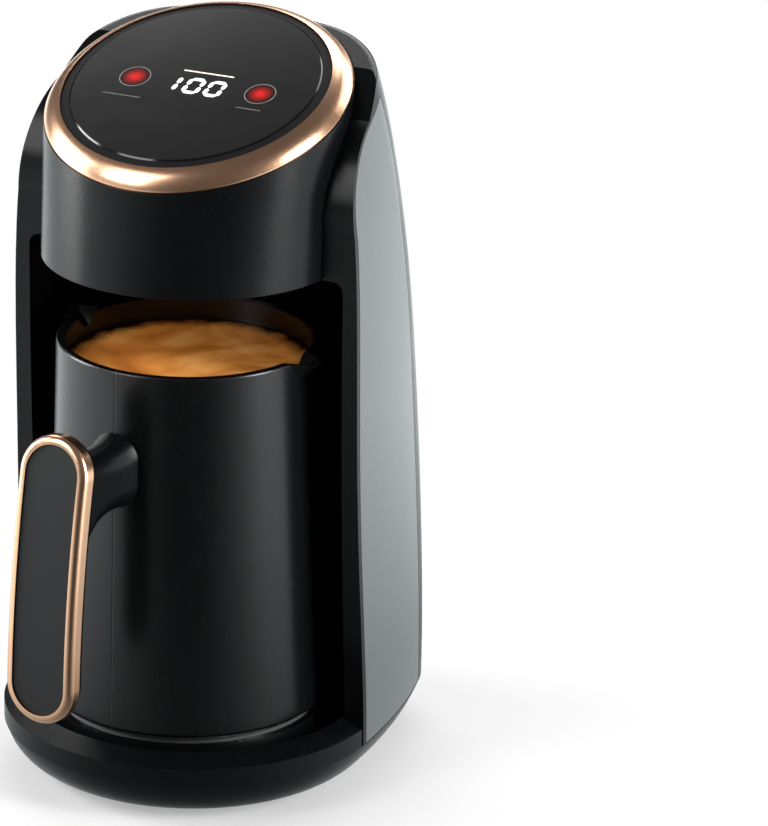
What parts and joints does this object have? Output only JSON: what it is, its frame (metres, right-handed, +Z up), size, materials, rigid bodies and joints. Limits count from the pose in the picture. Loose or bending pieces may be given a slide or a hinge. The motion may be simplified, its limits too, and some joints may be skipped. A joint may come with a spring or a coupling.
{
  "type": "electric turkish coffee maker",
  "caption": "Electric turkish coffee maker: slanted touch panel over a niche with a hot plate, and a spouted jug with an upright gold-framed handle that slides out to the front.",
  "frame": {"origin": "middle of the bounding box, on the surface that the feet stand on", "axes": "+Z up, -Y to the front where the jug's handle points, +X to the right when looking along +Y"},
  "size_m": [0.1378, 0.1957, 0.2694],
  "materials": {
    "black_inner": "matt black moulding",
    "black_shell": "satin black moulded shell",
    "zinc_steel": "zinc-plated steel",
    "green_board": "green circuit board",
    "black_rubber": "matt black rubber",
    "display_block": "white display block",
    "capacitor_can": "sleeved can",
    "panel_glass": "black-backed glass",
    "inlay_black": "soft-touch black inlay",
    "rose_gold": "rose-gold plated satin metal",
    "element_steel": "heat-tinted steel tube",
    "plate_aluminium": "turned aluminium",
    "liner_steel": "dark non-stick coated steel",
    "jug_black": "satin black coated jug wall",
    "red_lamp": "red lamp",
    "silicone_seal": "grey silicone",
    "spring_steel": "spring wire",
    "relay_case": "blue relay case",
    "white_ceramic": "unglazed ceramic",
    "dark_window": "dark infrared window",
    "silver_panel": "silver-grey satin lacquer",
    "terminal_white": "white moulding",
    "touch_foam": "conductive foam ring"
  },
  "bodies": {
    "machine": {"base_cover": "black_inner", "base_deck": "black_shell", "base_screws": "zinc_steel", "base_shell": "black_shell", "bay_liner": "black_inner", "buzzer": "black_inner", "control_board": "green_board", "cord_gland": "black_rubber", "display_board": "green_board", "display_carrier": "black_inner", "display_module": "display_block", "filter_capacitor": "capacitor_can", "foam_sensor": "green_board", "glass_panel": "panel_glass", "head_shell": "black_shell", "head_underside": "black_inner", "heating_element": "element_steel", "hot_plate": "plate_aluminium", "key_lamps": "red_lamp", "panel_gasket": "black_rubber", "plate_gasket": "silicone_seal", "plate_strap": "zinc_steel", "plunger_spring": "spring_steel", "power_transformer": "zinc_steel", "rear_cover": "black_shell", "relay": "relay_case", "rubber_feet": "black_rubber", "sensor_guide": "white_ceramic", "sensor_window": "dark_window", "side_panel_left": "silver_panel", "side_panel_right": "silver_panel", "terminal_block": "terminal_white", "thermal_fuse": "white_ceramic", "thermostat": "white_ceramic", "touch_pad_left": "touch_foam", "touch_pad_right": "touch_foam", "tower_shell": "black_shell", "trim_ring": "rose_gold"},
    "jug": {"handle_body": "black_shell", "handle_bolts": "zinc_steel", "handle_inlay": "inlay_black", "handle_trim": "rose_gold", "jug_base_disc": "plate_aluminium", "jug_liner": "liner_steel", "jug_shell": "jug_black", "rim_seal": "silicone_seal"},
    "plunger": {"sensor_plunger": "plate_aluminium"}
  },
  "joints": [
    {"name": "jug_slide", "type": "slide", "parent": "machine", "child": "jug", "axis": [0, -1, 0], "range_m": [0, 0.15]},
    {"name": "plunger_press", "type": "slide", "parent": "machine", "child": "plunger", "axis": [0, 0, 1], "range_m": [-0.002, 0], "stiffness_N_per_m": 300, "springref_m": 0.004, "deforming": ["plunger_spring"]}
  ]
}
